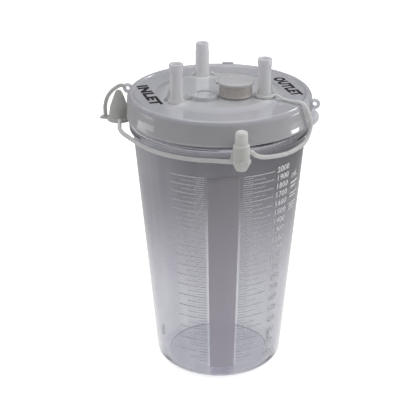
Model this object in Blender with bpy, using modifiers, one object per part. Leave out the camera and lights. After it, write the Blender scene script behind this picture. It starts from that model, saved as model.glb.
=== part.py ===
"""Suction collection canister: a clear tapered jar, a press-fit ported lid, a float shut-off valve
under the vacuum port, and caps held by a tether.

Everything is in metres, +Z up. The origin is the centre of the jar's flat base. +X is the side of
the vacuum port, and -Y is the side of the write-on strip.
"""

import math

import bmesh
import bpy
from mathutils import Matrix, Vector

GAP = 0.0003  # clearance between pieces that rest on one another

# Jar
JAR_BASE_RADIUS = 0.0515  # of the tapered wall, carried down to the base plane
JAR_NECK_RADIUS = 0.0700
JAR_NECK_HEIGHT = 0.2136
JAR_RIM_HEIGHT = 0.2290
JAR_WALL = 0.0019
JAR_FLOOR = 0.0028
JAR_CORNER = 0.0155
RIM_BEAD = 0.0016
RIM_BEAD_HEIGHT = 0.0034
COLLAR_RADIUS = 0.0722
COLLAR_BOTTOM = 0.2062
COLLAR_TOP = 0.2112

# Write-on strip on the front of the jar
STRIP_DEG = -87.0
STRIP_HALF_DEG = 11.2
STRIP_BOTTOM = 0.0130
STRIP_TOP = 0.1890
STRIP_THICK = 0.00025

# Lid
SKIRT_BOTTOM = 0.2152
SKIRT_RADIUS = 0.0746
SHOULDER_RADIUS = 0.0736
SHOULDER_ROUND = 0.0035
LID_EDGE_TOP = 0.2342
LID_TOP = 0.2360
PLATEAU_RADIUS = 0.0450  # of the raised middle; its side slopes down to the flat ring
PLATEAU_FOOT_RADIUS = 0.0500
LID_WALL = 0.0020
SKIRT_INNER = JAR_NECK_RADIUS + RIM_BEAD + 0.0004
PLUG_RING_RADIUS = 0.0670  # the ring that hangs inside the jar's mouth
PLUG_RING_BOTTOM = 0.2235
GROOVE_TOP = 0.2310  # roof of the groove that takes the jar's rim
LID_UNDER = LID_EDGE_TOP - LID_WALL

# Openings and ports of the lid, at (x, y)
PATIENT_AT = (-0.0334, -0.0262)
TANDEM_AT = (-0.0142, 0.0383)
VACUUM_AT = (0.0350, -0.0161)
POUR_AT = (0.0126, -0.0130)
BOSS_AT = (-0.0118, -0.0208)
PORT_RADIUS = 0.0056
PORT_BORE = 0.0036
PORT_FOOT_RADIUS = 0.0062
PATIENT_HEIGHT = 0.0298  # of each port above the lid's top plate
TANDEM_HEIGHT = 0.0272
VACUUM_HEIGHT = 0.0311
STEM_RADIUS = 0.0046
STEM_LENGTH = 0.0040  # of a port below the lid's top plate
BOSS_RADIUS = 0.0108
BOSS_HEIGHT = 0.0038
SPOUT_RADIUS = 0.0110
SPOUT_BORE = 0.0092
SPOUT_HEIGHT = 0.0094

# Pour cap
CAP_FLANGE_RADIUS = 0.0147
CAP_FLANGE_HEIGHT = 0.0026
CAP_RADIUS = 0.0127
CAP_BOTTOM = LID_TOP + 0.0005
CAP_TOP = CAP_BOTTOM + 0.0124
CAP_WALL = 0.0013
LINER_THICK = 0.0014

# Shut-off valve and filter, stacked downwards under the vacuum port
HOUSING_RADIUS = 0.0122
HOUSING_WALL = 0.0013
HOUSING_HEIGHT = 0.0132
STACK_RADIUS = 0.0105
FILTER_THICK = 0.0012
SUPPORT_THICK = 0.0020
SEAT_THICK = 0.0020
SEAT_BORE = 0.0030
CAGE_RADIUS = 0.0086
CAGE_BORE = 0.0073
CAGE_HEIGHT = 0.0268
FLOAT_RADIUS = 0.0065
FLOAT_HEIGHT = 0.0162

# Deflector under the patient port
DEFLECTOR_RADIUS = 0.0074
DEFLECTOR_HEIGHT = 0.0257
DEFLECTOR_WALL = 0.0015

# Tether and the caps on it
TETHER_RADIUS = 0.00160
TETHER_HEIGHT = 0.2050
TETHER_RING_RADIUS = 0.0742
CONE_DEG = 165.3
CONE_REACH = 0.0848
CONE_BASE = 0.2027
CONE_FLANGE_RADIUS = 0.0098
LUG_REACH = 0.0151  # from the cone cap's own axis
LUG_THICK = 0.0022
PLUG_DEG = -78.4
PLUG_REACH = 0.0820
PLUG_BASE = 0.2000
COLLAR_RING_RADIUS = 0.0080
COLLAR_RING_HEIGHT = 0.0023

# Ears and lift tab on the lid's skirt
EARS_DEG = (-13.0, CONE_DEG)
EAR_HEIGHT = 0.2305
EAR_RADIUS = 0.0042
EAR_HOLE = 0.0017
EAR_THICK = 0.0024
EAR_REACH = 0.0766
LIFT_TAB_DEG = -8.0
LIFT_TAB_HALF_DEG = 17.0
LIFT_TAB_REACH = 0.0048
LIFT_TAB_THICK = 0.0022

LID_STEPS = 64
PORT_STEPS = 24

CLEAR = (0.80, 0.81, 0.85, 0.30)
MILKY = (0.86, 0.87, 0.88, 1.0)
NATURAL = (0.80, 0.82, 0.77, 1.0)
SMOKY = (0.62, 0.60, 0.61, 1.0)
RUBBER = (0.50, 0.52, 0.55, 1.0)
PAPER = (0.93, 0.93, 0.90, 1.0)
ORANGE = (0.85, 0.42, 0.16, 1.0)


# ---------------------------------------------------------------- helpers

def clear_scene():
    for obj in list(bpy.data.objects):
        bpy.data.objects.remove(obj)


def collection(name):
    made = bpy.data.collections.new(name)
    bpy.context.scene.collection.children.link(made)
    return made


def material(name, colour, roughness):
    made = bpy.data.materials.new(name)
    made.use_nodes = True
    shader = made.node_tree.nodes["Principled BSDF"]
    shader.inputs["Base Color"].default_value = (*colour[:3], 1.0)
    shader.inputs["Alpha"].default_value = colour[3]
    shader.inputs["Roughness"].default_value = roughness
    shader.inputs["Metallic"].default_value = 0.0
    return made


def add(name, data, finish, at=(0.0, 0.0)):
    """A visible piece of the canister, on a vertical axis through at."""
    obj = bpy.data.objects.new(name, data)
    obj.location = (*at, 0.0)
    obj.data.materials.append(finish)
    parts.objects.link(obj)
    return obj


def add_cutter(name, mesh, at=(0.0, 0.0)):
    """A helper shape that is joined to a piece, or cut from it."""
    obj = bpy.data.objects.new(name, mesh)
    obj.location = (*at, 0.0)
    obj.hide_render = True
    obj.display_type = "WIRE"
    cutters.objects.link(obj)
    return obj


def profile_mesh(name, points, closed):
    """A chain of (radius, height) points in the XZ plane, for a Screw modifier."""
    edges = [(i, i + 1) for i in range(len(points) - 1)]
    if closed:
        edges.append((len(points) - 1, 0))
    mesh = bpy.data.meshes.new(name)
    mesh.from_pydata([(radius, 0.0, height) for radius, height in points], edges, [])
    return mesh


def turn(obj, steps):
    screw = obj.modifiers.new("Turn", "SCREW")
    screw.steps = steps
    screw.render_steps = steps
    screw.use_merge_vertices = True
    screw.merge_threshold = 0.00001
    screw.use_smooth_shade = True
    return obj


def turned(name, points, finish, steps=PORT_STEPS, at=(0.0, 0.0), closed=False):
    """A turned piece. Its profile runs down the outer side."""
    return turn(add(name, profile_mesh(name, points, closed), finish, at), steps)


def ring(name, outer, inner, bottom, top, finish, steps=PORT_STEPS, at=(0.0, 0.0)):
    """A plain flat ring."""
    points = [(inner, top), (outer, top), (outer, bottom), (inner, bottom)]
    return turned(name, points, finish, steps, at, closed=True)


def arc(centre, radius, start_deg, end_deg, count):
    """Points on a round of a profile, as (radius, height)."""
    points = []
    for i in range(count + 1):
        angle = math.radians(start_deg + (end_deg - start_deg) * i / count)
        points.append((centre[0] + radius * math.cos(angle), centre[1] + radius * math.sin(angle)))
    return points


def cylinder_mesh(name, radius, bottom, top, steps=PORT_STEPS, place=None):
    """A closed cylinder on the Z axis from bottom to top, then moved by the matrix place."""
    mesh = bpy.data.meshes.new(name)
    shape = bmesh.new()
    centred = Matrix.Translation((0.0, 0.0, (top + bottom) / 2))
    bmesh.ops.create_cone(
        shape, cap_ends=True, segments=steps, radius1=radius, radius2=radius,
        depth=top - bottom, matrix=(place or Matrix()) @ centred,
    )
    shape.to_mesh(mesh)
    shape.free()
    return mesh


def box_mesh(name, size, place):
    """A closed box of the given size, moved by the matrix place."""
    mesh = bpy.data.meshes.new(name)
    shape = bmesh.new()
    bmesh.ops.create_cube(shape, size=1.0, matrix=place @ Matrix.Diagonal((*size, 1.0)))
    shape.to_mesh(mesh)
    shape.free()
    return mesh


def combine(obj, other, operation):
    boolean = obj.modifiers.new(operation.title() + " " + other.name, "BOOLEAN")
    boolean.operation = operation
    boolean.object = other


def spin(azimuth_deg):
    return Matrix.Rotation(math.radians(azimuth_deg), 4, "Z")


def polar(azimuth_deg, radius, height):
    angle = math.radians(azimuth_deg)
    return Vector((radius * math.cos(angle), radius * math.sin(angle), height))


def smooth_path(knots, per_span=4):
    """Catmull-Rom points through the knots, with per_span steps between two of them."""
    ends = [2 * knots[0] - knots[1], *knots, 2 * knots[-1] - knots[-2]]
    path = []
    for i in range(1, len(ends) - 2):
        a, b, c, d = ends[i - 1:i + 3]
        for step in range(per_span):
            t = step / per_span
            linear = 2 * b + (c - a) * t
            square = (2 * a - 5 * b + 4 * c - d) * t ** 2
            cube = (3 * b - a - 3 * c + d) * t ** 3
            path.append((linear + square + cube) / 2)
    path.append(knots[-1].copy())
    return path


def tether(name, path, finish):
    """A round strap of soft plastic along the path."""
    curve = bpy.data.curves.new(name, "CURVE")
    curve.dimensions = "3D"
    curve.bevel_depth = TETHER_RADIUS
    curve.bevel_resolution = 2
    curve.use_fill_caps = True
    spline = curve.splines.new("POLY")
    spline.points.add(len(path) - 1)
    for point, place in zip(spline.points, path):
        point.co = (*place, 1.0)
    return add(name, curve, finish)


# ---------------------------------------------------------------- jar

def jar_radius(height):
    """Outer radius of the tapered wall."""
    return JAR_BASE_RADIUS + (JAR_NECK_RADIUS - JAR_BASE_RADIUS) * height / JAR_NECK_HEIGHT


def make_canister(finish):
    """The jar: up the inside, over the rim, then down past the collar to the rounded foot."""
    bore = JAR_NECK_RADIUS - JAR_WALL
    foot = jar_radius(JAR_CORNER) - JAR_CORNER
    inner_corner = JAR_CORNER - JAR_WALL
    neck = JAR_NECK_RADIUS + 0.0006
    bead = JAR_NECK_RADIUS + RIM_BEAD
    inside = [
        (0.0, JAR_FLOOR),
        *arc((foot, JAR_FLOOR + inner_corner), inner_corner, -90, 0, 5),
        (bore, JAR_NECK_HEIGHT),
        (bore, JAR_RIM_HEIGHT),
    ]
    outside = [
        (bead - 0.0006, JAR_RIM_HEIGHT),
        (bead, JAR_RIM_HEIGHT - 0.0006),
        (bead, JAR_RIM_HEIGHT - RIM_BEAD_HEIGHT),
        (neck, JAR_RIM_HEIGHT - RIM_BEAD_HEIGHT - 0.0012),
        (neck, COLLAR_TOP + 0.0008),
        (COLLAR_RADIUS, COLLAR_TOP),
        (COLLAR_RADIUS, COLLAR_BOTTOM),
        (jar_radius(COLLAR_BOTTOM), COLLAR_BOTTOM - 0.0006),
        *arc((foot, JAR_CORNER), JAR_CORNER, 0, -90, 6),
        (0.0, 0.0),
    ]
    turned("canister", [*inside, *outside], finish, LID_STEPS)


def make_write_on_strip(finish):
    """A thin tapered label on the jar's wall."""
    shape = bmesh.new()
    columns = 8
    rows = []
    for height in (STRIP_BOTTOM, STRIP_TOP):
        radius = jar_radius(height) + GAP
        angles = [STRIP_DEG + STRIP_HALF_DEG * (2 * i / columns - 1) for i in range(columns + 1)]
        rows.append([shape.verts.new(polar(angle, radius, height)) for angle in angles])
    for i in range(columns):
        shape.faces.new((rows[0][i], rows[0][i + 1], rows[1][i + 1], rows[1][i]))
    mesh = bpy.data.meshes.new("write_on_strip")
    shape.to_mesh(mesh)
    shape.free()
    strip = add("write_on_strip", mesh, finish)
    skin = strip.modifiers.new("Thickness", "SOLIDIFY")
    skin.thickness = STRIP_THICK
    skin.offset = 1.0


# ---------------------------------------------------------------- lid

def lid_profile():
    """From the middle of the top, over the shoulder, down the skirt, and back underneath."""
    shoulder = (SHOULDER_RADIUS - SHOULDER_ROUND, LID_EDGE_TOP - SHOULDER_ROUND)
    plug_bore = PLUG_RING_RADIUS - LID_WALL
    return [
        (0.0, LID_TOP),
        (PLATEAU_RADIUS, LID_TOP),
        (PLATEAU_FOOT_RADIUS, LID_EDGE_TOP),
        *arc(shoulder, SHOULDER_ROUND, 90, 0, 4),
        (SKIRT_RADIUS, SKIRT_BOTTOM),
        (SKIRT_INNER, SKIRT_BOTTOM),
        (SKIRT_INNER, GROOVE_TOP),
        (PLUG_RING_RADIUS, GROOVE_TOP),
        (PLUG_RING_RADIUS, PLUG_RING_BOTTOM),
        (plug_bore, PLUG_RING_BOTTOM),
        (plug_bore, LID_UNDER),
        (0.0, LID_UNDER),
    ]


def boss_shape():
    """A low round boss with a raised rim, rooted in the lid's top plate."""
    top = LID_TOP + BOSS_HEIGHT
    rim = BOSS_RADIUS - 0.0016
    points = [
        (0.0, top - 0.0008),
        (rim, top - 0.0008),
        (rim + 0.0006, top),
        (BOSS_RADIUS - 0.0003, top),
        (BOSS_RADIUS, LID_TOP - LID_WALL / 2),
        (0.0, LID_TOP - LID_WALL / 2),
    ]
    return turn(add_cutter("boss", profile_mesh("boss", points, False), BOSS_AT), PORT_STEPS)


def ear_place(azimuth_deg):
    """Turns a cylinder's axis along the skirt's tangent, at an ear's centre."""
    return spin(azimuth_deg) @ Matrix.Translation((EAR_REACH, 0.0, EAR_HEIGHT)) @ Matrix.Rotation(
        math.pi / 2, 4, "X"
    )


def lift_tab_shape():
    """A half-moon tab at the skirt's foot: a disc whose middle is cut away."""
    half_chord = SKIRT_RADIUS * math.sin(math.radians(LIFT_TAB_HALF_DEG))
    bulge = SKIRT_RADIUS + LIFT_TAB_REACH - math.sqrt(SKIRT_RADIUS ** 2 - half_chord ** 2)
    radius = (half_chord ** 2 + bulge ** 2) / (2 * bulge)
    centre = polar(LIFT_TAB_DEG, SKIRT_RADIUS + LIFT_TAB_REACH - radius, 0.0)
    top = SKIRT_BOTTOM + LIFT_TAB_THICK
    mesh = cylinder_mesh("lift_tab", radius, SKIRT_BOTTOM + GAP, top, LID_STEPS)
    tab = add_cutter("lift_tab", mesh, centre[:2])
    core_radius = SKIRT_RADIUS - 0.0010
    core_mesh = cylinder_mesh("lift_tab_core", core_radius, SKIRT_BOTTOM - 0.001, top + 0.001, LID_STEPS)
    combine(tab, add_cutter("lift_tab_core", core_mesh), "DIFFERENCE")
    return tab


def make_lid(finish):
    lid = turned("lid_shell", lid_profile(), finish, LID_STEPS)
    combine(lid, boss_shape(), "UNION")
    combine(lid, lift_tab_shape(), "UNION")
    spout = cylinder_mesh("spout", SPOUT_RADIUS, LID_TOP - LID_WALL / 2, LID_TOP + SPOUT_HEIGHT)
    combine(lid, add_cutter("spout", spout, POUR_AT), "UNION")
    for number, azimuth in enumerate(EARS_DEG):
        place = ear_place(azimuth)
        name = f"ear_{number}"
        half = EAR_THICK / 2
        combine(lid, add_cutter(name, cylinder_mesh(name, EAR_RADIUS, -half, half, 16, place)), "UNION")
        hole = cylinder_mesh(name + "_hole", EAR_HOLE, -EAR_THICK, EAR_THICK, 12, place)
        combine(lid, add_cutter(name + "_hole", hole), "DIFFERENCE")
    cuts = [("spout_bore", POUR_AT, SPOUT_BORE)]
    cuts += [(name, at, STEM_RADIUS + GAP) for name, at in (
        ("patient_hole", PATIENT_AT), ("tandem_hole", TANDEM_AT), ("vacuum_hole", VACUUM_AT))]
    for name, at, radius in cuts:
        bore = cylinder_mesh(name, radius, LID_UNDER - 0.002, LID_TOP + SPOUT_HEIGHT + 0.002)
        combine(lid, add_cutter(name, bore, at), "DIFFERENCE")


def make_lid_seal(finish):
    outer = JAR_NECK_RADIUS + 0.0008
    inner = JAR_NECK_RADIUS - 0.0016
    ring("lid_seal", outer, inner, JAR_RIM_HEIGHT + GAP, GROOVE_TOP - GAP, finish, LID_STEPS)


def make_port(name, at, height, finish):
    """A hose nozzle: rounded lip, straight tube, flared foot on the lid, and a stem through it."""
    top = LID_TOP + height
    seat = LID_TOP + GAP
    stem_bottom = LID_UNDER - STEM_LENGTH
    lip = 0.0006
    points = [
        (PORT_BORE + lip, top),
        *arc((PORT_RADIUS - lip, top - lip), lip, 90, 0, 3),
        (PORT_RADIUS, seat + 0.0030),
        (PORT_FOOT_RADIUS, seat),
        (STEM_RADIUS, seat),
        (STEM_RADIUS, stem_bottom),
        (PORT_BORE, stem_bottom),
        (PORT_BORE, top - lip),
    ]
    turned(name, points, finish, at=at, closed=True)


def make_inlet_deflector(finish):
    """A cup under the patient port, open on its outer side, that turns the stream on to the wall."""
    top = LID_UNDER - GAP
    bottom = top - DEFLECTOR_HEIGHT
    neck = STEM_RADIUS + GAP
    bore = DEFLECTOR_RADIUS - DEFLECTOR_WALL
    neck_bottom = top - 0.0030
    points = [
        (0.0, bottom + DEFLECTOR_WALL),
        (bore, bottom + DEFLECTOR_WALL),
        (bore, neck_bottom),
        (neck, neck_bottom),
        (neck, top),
        (DEFLECTOR_RADIUS, top),
        (DEFLECTOR_RADIUS, bottom),
        (0.0, bottom),
    ]
    cup = turned("inlet_deflector", points, finish, at=PATIENT_AT)
    outward = math.degrees(math.atan2(PATIENT_AT[1], PATIENT_AT[0]))
    middle = bottom + DEFLECTOR_HEIGHT * 0.42
    place = spin(outward) @ Matrix.Translation((DEFLECTOR_RADIUS, 0.0, middle))
    size = (DEFLECTOR_RADIUS, DEFLECTOR_RADIUS * 1.3, DEFLECTOR_HEIGHT * 0.5)
    combine(cup, add_cutter("deflector_window", box_mesh("deflector_window", size, place), PATIENT_AT),
            "DIFFERENCE")


# ---------------------------------------------------------------- valve and filter

def make_valve_stack(milky, rubber, paper, orange):
    """Housing, filter, filter support, valve seat, cage and float, from the lid downwards."""
    top = LID_UNDER - GAP
    roof = top - HOUSING_WALL
    neck = STEM_RADIUS + GAP
    housing = [
        (neck, top),
        (HOUSING_RADIUS, top),
        (HOUSING_RADIUS, top - HOUSING_HEIGHT),
        (HOUSING_RADIUS - HOUSING_WALL, top - HOUSING_HEIGHT),
        (HOUSING_RADIUS - HOUSING_WALL, roof),
        (neck, roof),
    ]
    turned("filter_housing", housing, milky, at=VACUUM_AT, closed=True)

    filter_top = LID_UNDER - STEM_LENGTH - GAP - 0.0005
    filter_bottom = filter_top - FILTER_THICK
    disc = cylinder_mesh("filter_disc", STACK_RADIUS, filter_bottom, filter_top)
    add("filter_disc", disc, paper, VACUUM_AT)

    support_top = filter_bottom - GAP
    support_bottom = support_top - SUPPORT_THICK
    plate = cylinder_mesh("filter_support", STACK_RADIUS, support_bottom, support_top)
    support = add("filter_support", plate, milky, VACUUM_AT)
    hole_radius = 0.0021
    for number in range(7):
        reach = 0.0 if number == 6 else STACK_RADIUS * 0.62
        place = Matrix.Translation(polar(60 * number, reach, 0.0))
        name = f"support_hole_{number}"
        hole = cylinder_mesh(name, hole_radius, support_bottom - 0.001, support_top + 0.001, 12, place)
        combine(support, add_cutter(name, hole, VACUUM_AT), "DIFFERENCE")

    seat_top = support_bottom - GAP
    seat_bottom = seat_top - SEAT_THICK
    ring("valve_seat", STACK_RADIUS, SEAT_BORE, seat_bottom, seat_top, rubber, at=VACUUM_AT)

    cage_top = seat_bottom - GAP
    make_float_cage(cage_top, milky)
    cage_floor = cage_top - CAGE_HEIGHT + HOUSING_WALL
    make_float(cage_floor + GAP, orange)


def make_float_cage(top, finish):
    """A flanged basket with four side windows and a hole in its floor."""
    bottom = top - CAGE_HEIGHT
    floor = bottom + HOUSING_WALL
    flange = 0.0016
    vent = 0.0028
    points = [
        (vent, floor),
        (CAGE_BORE, floor),
        (CAGE_BORE, top),
        (STACK_RADIUS, top),
        (STACK_RADIUS, top - flange),
        (CAGE_RADIUS, top - flange),
        (CAGE_RADIUS, bottom),
        (vent, bottom),
    ]
    cage = turned("float_cage", points, finish, at=VACUUM_AT, closed=True)
    size = (2.5 * CAGE_RADIUS, 0.0052, CAGE_HEIGHT * 0.52)
    for number in range(2):
        place = spin(45 + 90 * number) @ Matrix.Translation((0.0, 0.0, bottom + CAGE_HEIGHT * 0.46))
        name = f"cage_window_{number}"
        combine(cage, add_cutter(name, box_mesh(name, size, place), VACUUM_AT), "DIFFERENCE")


def make_float(bottom, finish):
    """A light capsule that rises with the liquid and shuts the valve seat."""
    cap = FLOAT_RADIUS * 0.55
    top = bottom + FLOAT_HEIGHT
    points = [(0.0, top)]
    for i in range(1, 5):
        angle = math.radians(90 - 22.5 * i)
        points.append((FLOAT_RADIUS * math.cos(angle), top - cap + cap * math.sin(angle)))
    for i in range(4):
        angle = math.radians(22.5 * i)
        points.append((FLOAT_RADIUS * math.cos(angle), bottom + cap - cap * math.sin(angle)))
    points.append((0.0, bottom))
    turned("float", points, finish, at=VACUUM_AT)


# ---------------------------------------------------------------- caps and tethers

def make_pour_cap(milky, rubber):
    """A push-on cap with a wide finger flange, and the soft disc inside it."""
    bore = CAP_RADIUS - CAP_WALL
    ceiling = CAP_TOP - CAP_WALL
    flange_bottom = CAP_TOP - CAP_FLANGE_HEIGHT
    round_edge = 0.0008
    corner = (CAP_FLANGE_RADIUS - round_edge, CAP_TOP - round_edge)
    points = [
        (0.0, CAP_TOP),
        *arc(corner, round_edge, 90, 0, 2),
        (CAP_FLANGE_RADIUS, flange_bottom),
        (CAP_RADIUS, flange_bottom - 0.0010),
        (CAP_RADIUS, CAP_BOTTOM),
        (bore, CAP_BOTTOM),
        (bore, ceiling),
        (0.0, ceiling),
    ]
    turned("pour_port_cap", points, milky, 32, POUR_AT)
    liner_top = ceiling - GAP
    liner = cylinder_mesh("cap_liner", bore - GAP, liner_top - LINER_THICK, liner_top)
    add("cap_liner", liner, rubber, POUR_AT)


def make_cone_cap(finish):
    """The hollow cone cap on the left end of the tether, with the lug its loop is tied to."""
    centre = polar(CONE_DEG, CONE_REACH, 0.0)[:2]
    z = CONE_BASE
    points = [
        (0.0, z + 0.0254),
        (0.0016, z + 0.0250),
        (0.0034, z + 0.0224),
        (0.0072, z + 0.0116),
        (0.0086, z + LUG_THICK + 0.0008),
        (CONE_FLANGE_RADIUS, z + LUG_THICK),
        (CONE_FLANGE_RADIUS, z),
        (0.0076, z),
        (0.0060, z + 0.0110),
        (0.0024, z + 0.0210),
        (0.0, z + 0.0226),
    ]
    cap = turned("patient_cap", points, finish, at=centre)
    lug_root = CONE_FLANGE_RADIUS - 0.0012
    length = LUG_REACH - lug_root
    place = spin(CONE_DEG) @ Matrix.Translation((lug_root + length / 2, 0.0, z + LUG_THICK / 2))
    lug = box_mesh("cone_lug", (length, 0.0050, LUG_THICK * 0.8), place)
    combine(cap, add_cutter("cone_lug", lug, centre), "UNION")


def make_cone_loop(finish):
    """The loop from the lid's left ear out and down on to the cone cap's lug."""
    knots = [(0.0815, 0.2322), (0.0846, 0.2311), (0.0900, 0.2271), (0.0942, 0.2210), (0.0961, 0.2144)]
    knots.append((0.0962, CONE_BASE + LUG_THICK + GAP))
    tether("patient_cap_loop", smooth_path([polar(CONE_DEG, r, z) for r, z in knots]), finish)


def make_front_tether(finish):
    """From the cone cap's flange, round the front of the jar under its collar, to the plug."""
    cone = polar(CONE_DEG, CONE_REACH, TETHER_HEIGHT)
    start = cone + Vector((0.0010, -CONE_FLANGE_RADIUS - 2 * GAP, 0.0))
    knots = [
        start,
        polar(179.0, 0.0804, TETHER_HEIGHT),
        polar(185.2, 0.0798, TETHER_HEIGHT),
        polar(192.0, 0.0782, TETHER_HEIGHT),
        polar(198.9, 0.0760, TETHER_HEIGHT),
        polar(206.5, 0.0744, TETHER_HEIGHT),
    ]
    first, last, count = 214.0, 267.0, 8
    for i in range(count + 1):
        knots.append(polar(first + (last - first) * i / count, TETHER_RING_RADIUS, TETHER_HEIGHT))
    knots += [polar(272.5, 0.0764, TETHER_HEIGHT + 0.0003), polar(276.6, 0.0800, TETHER_HEIGHT + 0.0010)]
    tether("front_tether", smooth_path(knots, 3), finish)


def make_plug(finish):
    """The bullet-shaped hollow plug on the tether: domed top, thick collar, tapering foot."""
    z = PLUG_BASE
    radius = 0.0048
    dome = 0.0046
    points = [
        (0.0, z + 0.0310),
        *[(radius * math.sin(math.radians(a)), z + 0.0264 + dome * math.cos(math.radians(a)))
          for a in (30, 60, 90)],
        (radius, z + 0.0212),
        (0.0064, z + 0.0202),
        (0.0067, z + 0.0090),
        (0.0058, z + 0.0062),
        (0.0039, z),
        (0.0026, z),
        (0.0034, z + 0.0220),
        (0.0, z + 0.0262),
    ]
    turned("vacuum_cap", points, finish, 20, polar(PLUG_DEG, PLUG_REACH, 0.0)[:2])


def make_vacuum_tether(finish):
    """From the plug, round under the collar, up outside the skirt and over to the vacuum port."""
    knots = [
        polar(-72.3, 0.0821, 0.2135),
        polar(-70.0, 0.0804, 0.2102),
        polar(-65.6, 0.0788, 0.2072),
        polar(-59.0, 0.0778, 0.2056),
        polar(-49.5, 0.0774, 0.2046),
        polar(-40.5, 0.0774, 0.2052),
        polar(-31.3, 0.0776, 0.2074),
        polar(-26.0, 0.0779, 0.2138),
        polar(-24.5, 0.0780, 0.2190),
        polar(-26.6, 0.0780, 0.2264),
        polar(-29.3, 0.0774, 0.2326),
        polar(-29.6, 0.0745, 0.2370),
        polar(-27.6, 0.0690, 0.2378),
        polar(-24.6, 0.0610, 0.2370),
        polar(-23.0, 0.0540, 0.2374),
        polar(-22.8, 0.0475, 0.2384),
    ]
    tether("vacuum_tether", smooth_path(knots, 3), finish)


def make_tether_collar(finish):
    """The ring that ties the tether to the foot of the vacuum port."""
    bottom = LID_TOP + GAP
    inner = PORT_FOOT_RADIUS + GAP
    top = bottom + COLLAR_RING_HEIGHT
    ring("tether_collar", COLLAR_RING_RADIUS, inner, bottom, top, finish, at=VACUUM_AT)


# ---------------------------------------------------------------- build

clear_scene()
parts = collection("suction_canister")
cutters = collection("cutters")

clear = material("clear_plastic", CLEAR, 0.08)
milky = material("milky_plastic", MILKY, 0.25)
natural = material("natural_plastic", NATURAL, 0.35)
smoky = material("frosted_strip", SMOKY, 0.55)
rubber = material("seal_rubber", RUBBER, 0.60)
paper = material("filter_media", PAPER, 0.90)
orange = material("float_plastic", ORANGE, 0.40)

make_canister(clear)
make_write_on_strip(smoky)
make_lid(milky)
make_lid_seal(rubber)
make_port("patient_port", PATIENT_AT, PATIENT_HEIGHT, milky)
make_port("tandem_port", TANDEM_AT, TANDEM_HEIGHT, milky)
make_port("vacuum_port", VACUUM_AT, VACUUM_HEIGHT, milky)
make_inlet_deflector(milky)
make_valve_stack(milky, rubber, paper, orange)
make_pour_cap(milky, rubber)
make_cone_cap(natural)
make_cone_loop(natural)
make_front_tether(natural)
make_plug(natural)
make_vacuum_tether(natural)
make_tether_collar(natural)
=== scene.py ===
"""The looks of the suction canister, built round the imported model.

Heights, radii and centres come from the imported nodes. Shapes and the places in a material are in
millimetres; finished() and the modifiers turn them into metres, which the studio is given in. Each
piece has a short function of its own, and each material is a node network.
"""

import math

import bmesh
import bpy
import numpy as np
from mathutils import Matrix, Vector


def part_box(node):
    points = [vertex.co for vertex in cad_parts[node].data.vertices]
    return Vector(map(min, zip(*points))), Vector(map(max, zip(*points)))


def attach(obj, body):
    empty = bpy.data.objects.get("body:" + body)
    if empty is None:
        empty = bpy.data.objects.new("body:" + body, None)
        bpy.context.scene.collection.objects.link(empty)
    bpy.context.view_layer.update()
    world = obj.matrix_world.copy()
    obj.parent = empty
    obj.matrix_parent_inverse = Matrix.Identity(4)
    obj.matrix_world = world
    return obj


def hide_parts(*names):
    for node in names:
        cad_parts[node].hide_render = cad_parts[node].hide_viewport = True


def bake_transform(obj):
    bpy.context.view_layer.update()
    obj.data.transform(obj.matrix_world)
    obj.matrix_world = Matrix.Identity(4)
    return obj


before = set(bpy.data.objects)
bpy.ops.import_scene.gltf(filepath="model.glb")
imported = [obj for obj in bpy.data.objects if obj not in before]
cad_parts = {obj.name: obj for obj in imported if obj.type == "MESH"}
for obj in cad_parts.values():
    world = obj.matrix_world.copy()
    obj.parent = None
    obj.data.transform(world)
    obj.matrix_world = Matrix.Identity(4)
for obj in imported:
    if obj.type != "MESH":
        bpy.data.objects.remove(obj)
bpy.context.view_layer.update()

MM = 0.001
FINE = 192  # steps round the jar and the lid
MEDIUM = 72  # steps round caps and nozzles

STRIP_DEG = -87.0  # middle of the write-on strip, seen from above
STRIP_HALF_DEG = 10.6
MARGIN_DEG = 1.7  # width of the margin, clear of lines and lightened by a painted highlight, on each side of the strip
LUGS_DEG = (-147.6, -41.8, 84.0)
CAGE_BARS = 8
GRIP_RIBS = 36
CONE_DEG = 165.3

# Tint of the clear plastic, from the foot of the jar to its collar: its own faint tint, with painted
# shade darkening it high up under the lid
JAR_TINT_AND_SHADE = (
    (0.00, (0.80, 0.80, 0.825)),
    (0.35, (0.78, 0.775, 0.805)),
    (0.60, (0.62, 0.615, 0.64)),
    (0.80, (0.46, 0.455, 0.475)),
    (0.95, (0.47, 0.47, 0.485)),
    (1.00, (0.82, 0.82, 0.845)),
)
# Painted shade on the neck glass, seen in the gap under the lid's skirt
NECK_SHADE = (0.36, 0.36, 0.385)

# How far light of each colour soaks into the moulded plastics
SOAK = (1.0, 0.95, 0.9)
SOAK_DEPTH = 2.5 * MM

MARK_SHARE = 0.984  # the printed marks stand at this share of the heights of their volumes

# Brightness of the floor's painted glow, a pool of light round the jar: seen through the jar, near it
# and far away, and mirrored in it
FLOOR_NEAR = 0.90
FLOOR_FAR = 0.36
FLOOR_MIRRORED_NEAR = 0.85
FLOOR_MIRRORED_FAR = 0.30


# ---------------------------------------------------------------- places read from the frame

def box(node):
    return [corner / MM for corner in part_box(node)]


def centre(node):
    """The middle of a node's box, seen from above."""
    low, high = box(node)
    return Vector(((low.x + high.x) / 2, (low.y + high.y) / 2))


def half_width(node):
    low, high = box(node)
    return (high.y - low.y) / 2


def bottom(node):
    return box(node)[0].z


def top(node):
    return box(node)[1].z


def polar(azimuth_deg, radius, height=0.0):
    angle = math.radians(azimuth_deg)
    return Vector((radius * math.cos(angle), radius * math.sin(angle), height))


def widest(node, low, high):
    """(radius, height) of the vertex farthest from the jar's axis between two heights."""
    points = np.array([vertex.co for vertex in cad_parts[node].data.vertices]) / MM
    points = points[(points[:, 2] > low) & (points[:, 2] < high)]
    reach = np.hypot(points[:, 0], points[:, 1])
    return reach.max(), points[reach.argmax(), 2]


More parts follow.
